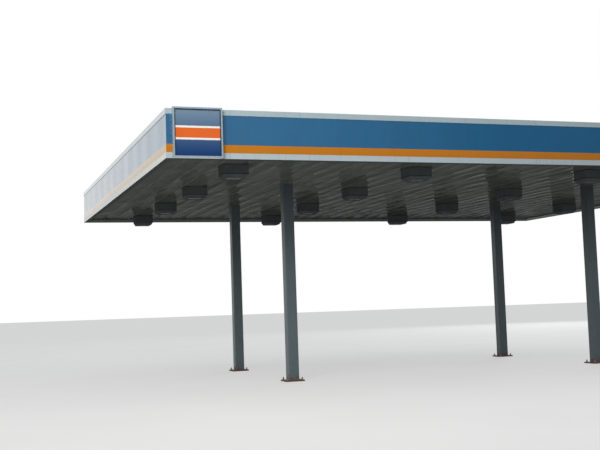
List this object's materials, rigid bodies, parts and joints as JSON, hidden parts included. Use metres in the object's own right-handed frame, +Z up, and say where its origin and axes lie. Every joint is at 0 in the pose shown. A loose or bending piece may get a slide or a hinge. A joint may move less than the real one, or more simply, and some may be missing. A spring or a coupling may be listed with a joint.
{
  "type": "filling station canopy",
  "caption": "Flat filling station canopy on four square columns, with a banded fascia, a metal pan soffit, box lights under it and a bare square sign case.",
  "frame": {"origin": "on the ground, at the centre of the box round the whole canopy: midway between the columns from left to right, and half the sign case's depth in front of the middle between the columns from front to rear", "axes": "+X to the right along the front fascia, +Y from the front fascia to the rear, +Z up; the sign case is at the left end of the front fascia, which faces -Y"},
  "size_m": [16.04, 13.49, 5.585],
  "materials": {
    "column_paint": "satin blue-grey paint",
    "base_plate_paint": "satin blue-grey paint, dulled",
    "beam_paint": "flat grey primer",
    "purlin_paint": "flat grey primer",
    "deck_paint": "glossy prepainted sheet",
    "collar_paint": "glossy prepainted sheet",
    "gutter_sheet": "prepainted sheet",
    "frame_steel": "galvanized",
    "panel_blue": "gloss film on panel",
    "coping_paint": "gloss light grey",
    "stripe_orange": "gloss film on panel",
    "trim_white": "gloss white",
    "sign_case_metal": "painted aluminium",
    "sign_face_plastic": "translucent acrylic",
    "housing_paint": "satin",
    "lens_glass": "tempered glass, unlit",
    "wiring_metal": "conduit and cast boxes"
  },
  "bodies": {
    "root": {"column_front_left": "column_paint", "column_front_right": "column_paint", "column_rear_left": "column_paint", "column_rear_right": "column_paint", "base_plate_front_left": "base_plate_paint", "base_plate_front_right": "base_plate_paint", "base_plate_rear_left": "base_plate_paint", "base_plate_rear_right": "base_plate_paint", "main_beam_left": "beam_paint", "main_beam_right": "beam_paint", "purlins_left": "purlin_paint", "purlins_middle": "purlin_paint", "purlins_right": "purlin_paint", "deck_left": "deck_paint", "deck_middle": "deck_paint", "deck_right": "deck_paint", "column_collars": "collar_paint", "gutter_front": "gutter_sheet", "gutter_rear": "gutter_sheet", "fascia_frame_front": "frame_steel", "fascia_frame_rear": "frame_steel", "fascia_frame_left": "frame_steel", "fascia_frame_right": "frame_steel", "fascia_arms": "frame_steel", "fascia_panel_front": "panel_blue", "fascia_panel_rear": "panel_blue", "fascia_panel_left": "panel_blue", "fascia_panel_right": "panel_blue", "coping_front": "coping_paint", "coping_rear": "coping_paint", "coping_left": "coping_paint", "coping_right": "coping_paint", "stripe_front": "stripe_orange", "stripe_rear": "stripe_orange", "stripe_left": "stripe_orange", "stripe_right": "stripe_orange", "bottom_trim_front": "trim_white", "bottom_trim_rear": "trim_white", "bottom_trim_left": "trim_white", "bottom_trim_right": "trim_white", "sign_case": "sign_case_metal", "sign_face": "sign_face_plastic", "light_housings": "housing_paint", "light_lenses": "lens_glass", "light_wiring": "wiring_metal"}
  },
  "joints": []
}
